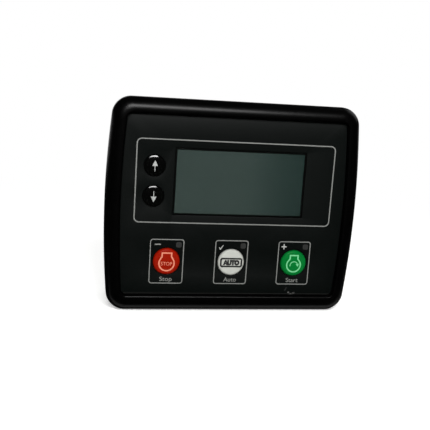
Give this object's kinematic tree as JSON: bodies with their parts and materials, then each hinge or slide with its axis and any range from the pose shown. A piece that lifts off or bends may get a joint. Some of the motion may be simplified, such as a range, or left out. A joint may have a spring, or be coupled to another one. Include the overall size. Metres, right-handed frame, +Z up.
{
  "type": "engine controller",
  "caption": "Panel-mount engine controller with a rolled rim, a grey display, sprung press keys and plug sockets at the back.",
  "frame": {"origin": "centre of the overall box, on the middle of the front's outline", "axes": "+X to the right seen from the front, -Y out of the front, +Z up"},
  "size_m": [0.1386, 0.043, 0.1146],
  "materials": {
    "case_black": "fine-textured black moulding",
    "label": "printed polyester, satin black",
    "gasket": "soft sealing ring",
    "window": "clear lens",
    "steel_black": "black sheet steel",
    "lcd": "unlit grey-green display glass",
    "acrylic": "milky acrylic",
    "elastomer": "contact elastomer",
    "key_red": "satin red",
    "key_white": "satin off-white",
    "key_green": "satin green",
    "key_black": "gloss black",
    "plunger": "moulded",
    "epoxy": "dark moulded part",
    "light_pipe": "smoked, unlit",
    "light_chip": "status light",
    "board": "green board",
    "nylon": "natural nylon",
    "plated_steel": "bright plated",
    "socket_green": "green socket moulding with plated pins",
    "sleeve": "shrunk sleeve",
    "relay_case": "moulded case"
  },
  "bodies": {
    "housing": {"front_bezel": "case_black", "rear_cover": "case_black", "fascia_label": "label", "panel_gasket": "gasket", "display_window": "window", "lcd_frame": "steel_black", "lcd_glass": "lcd", "lcd_light_guide": "acrylic", "lcd_contact_strip": "elastomer", "stop_switch": "epoxy", "auto_switch": "epoxy", "start_switch": "epoxy", "up_switch": "epoxy", "down_switch": "epoxy", "stop_light_pipe": "light_pipe", "auto_light_pipe": "light_pipe", "start_light_pipe": "light_pipe", "stop_light": "light_chip", "auto_light": "light_chip", "start_light": "light_chip", "display_board": "board", "power_board": "board", "board_spacer_1": "nylon", "board_spacer_2": "nylon", "board_spacer_3": "nylon", "board_spacer_4": "nylon", "case_screw_1": "plated_steel", "case_screw_2": "plated_steel", "case_screw_3": "plated_steel", "case_screw_4": "plated_steel", "header_outputs": "socket_green", "header_inputs": "socket_green", "header_sensing": "socket_green", "usb_shell": "plated_steel", "usb_tongue": "nylon", "processor_chip": "epoxy", "clock_battery": "plated_steel", "supply_capacitor_1": "sleeve", "supply_capacitor_2": "sleeve", "supply_inductor": "epoxy", "output_relay_1": "relay_case", "output_relay_2": "relay_case", "board_link": "epoxy"},
    "stop_key": {"stop_button": "key_red", "stop_plunger": "plunger"},
    "auto_key": {"auto_button": "key_white", "auto_plunger": "plunger"},
    "start_key": {"start_button": "key_green", "start_plunger": "plunger"},
    "up_key": {"up_button": "key_black", "up_plunger": "plunger"},
    "down_key": {"down_button": "key_black", "down_plunger": "plunger"}
  },
  "joints": [
    {"name": "stop_press", "type": "slide", "parent": "housing", "child": "stop_key", "axis": [0, 1, 0], "range_m": [0, 0.0006], "stiffness_N_per_m": 2000},
    {"name": "auto_press", "type": "slide", "parent": "housing", "child": "auto_key", "axis": [0, 1, 0], "range_m": [0, 0.0006], "stiffness_N_per_m": 2000},
    {"name": "start_press", "type": "slide", "parent": "housing", "child": "start_key", "axis": [0, 1, 0], "range_m": [0, 0.0006], "stiffness_N_per_m": 2000},
    {"name": "up_press", "type": "slide", "parent": "housing", "child": "up_key", "axis": [0, 1, 0], "range_m": [0, 0.0006], "stiffness_N_per_m": 2000},
    {"name": "down_press", "type": "slide", "parent": "housing", "child": "down_key", "axis": [0, 1, 0], "range_m": [0, 0.0006], "stiffness_N_per_m": 2000}
  ]
}
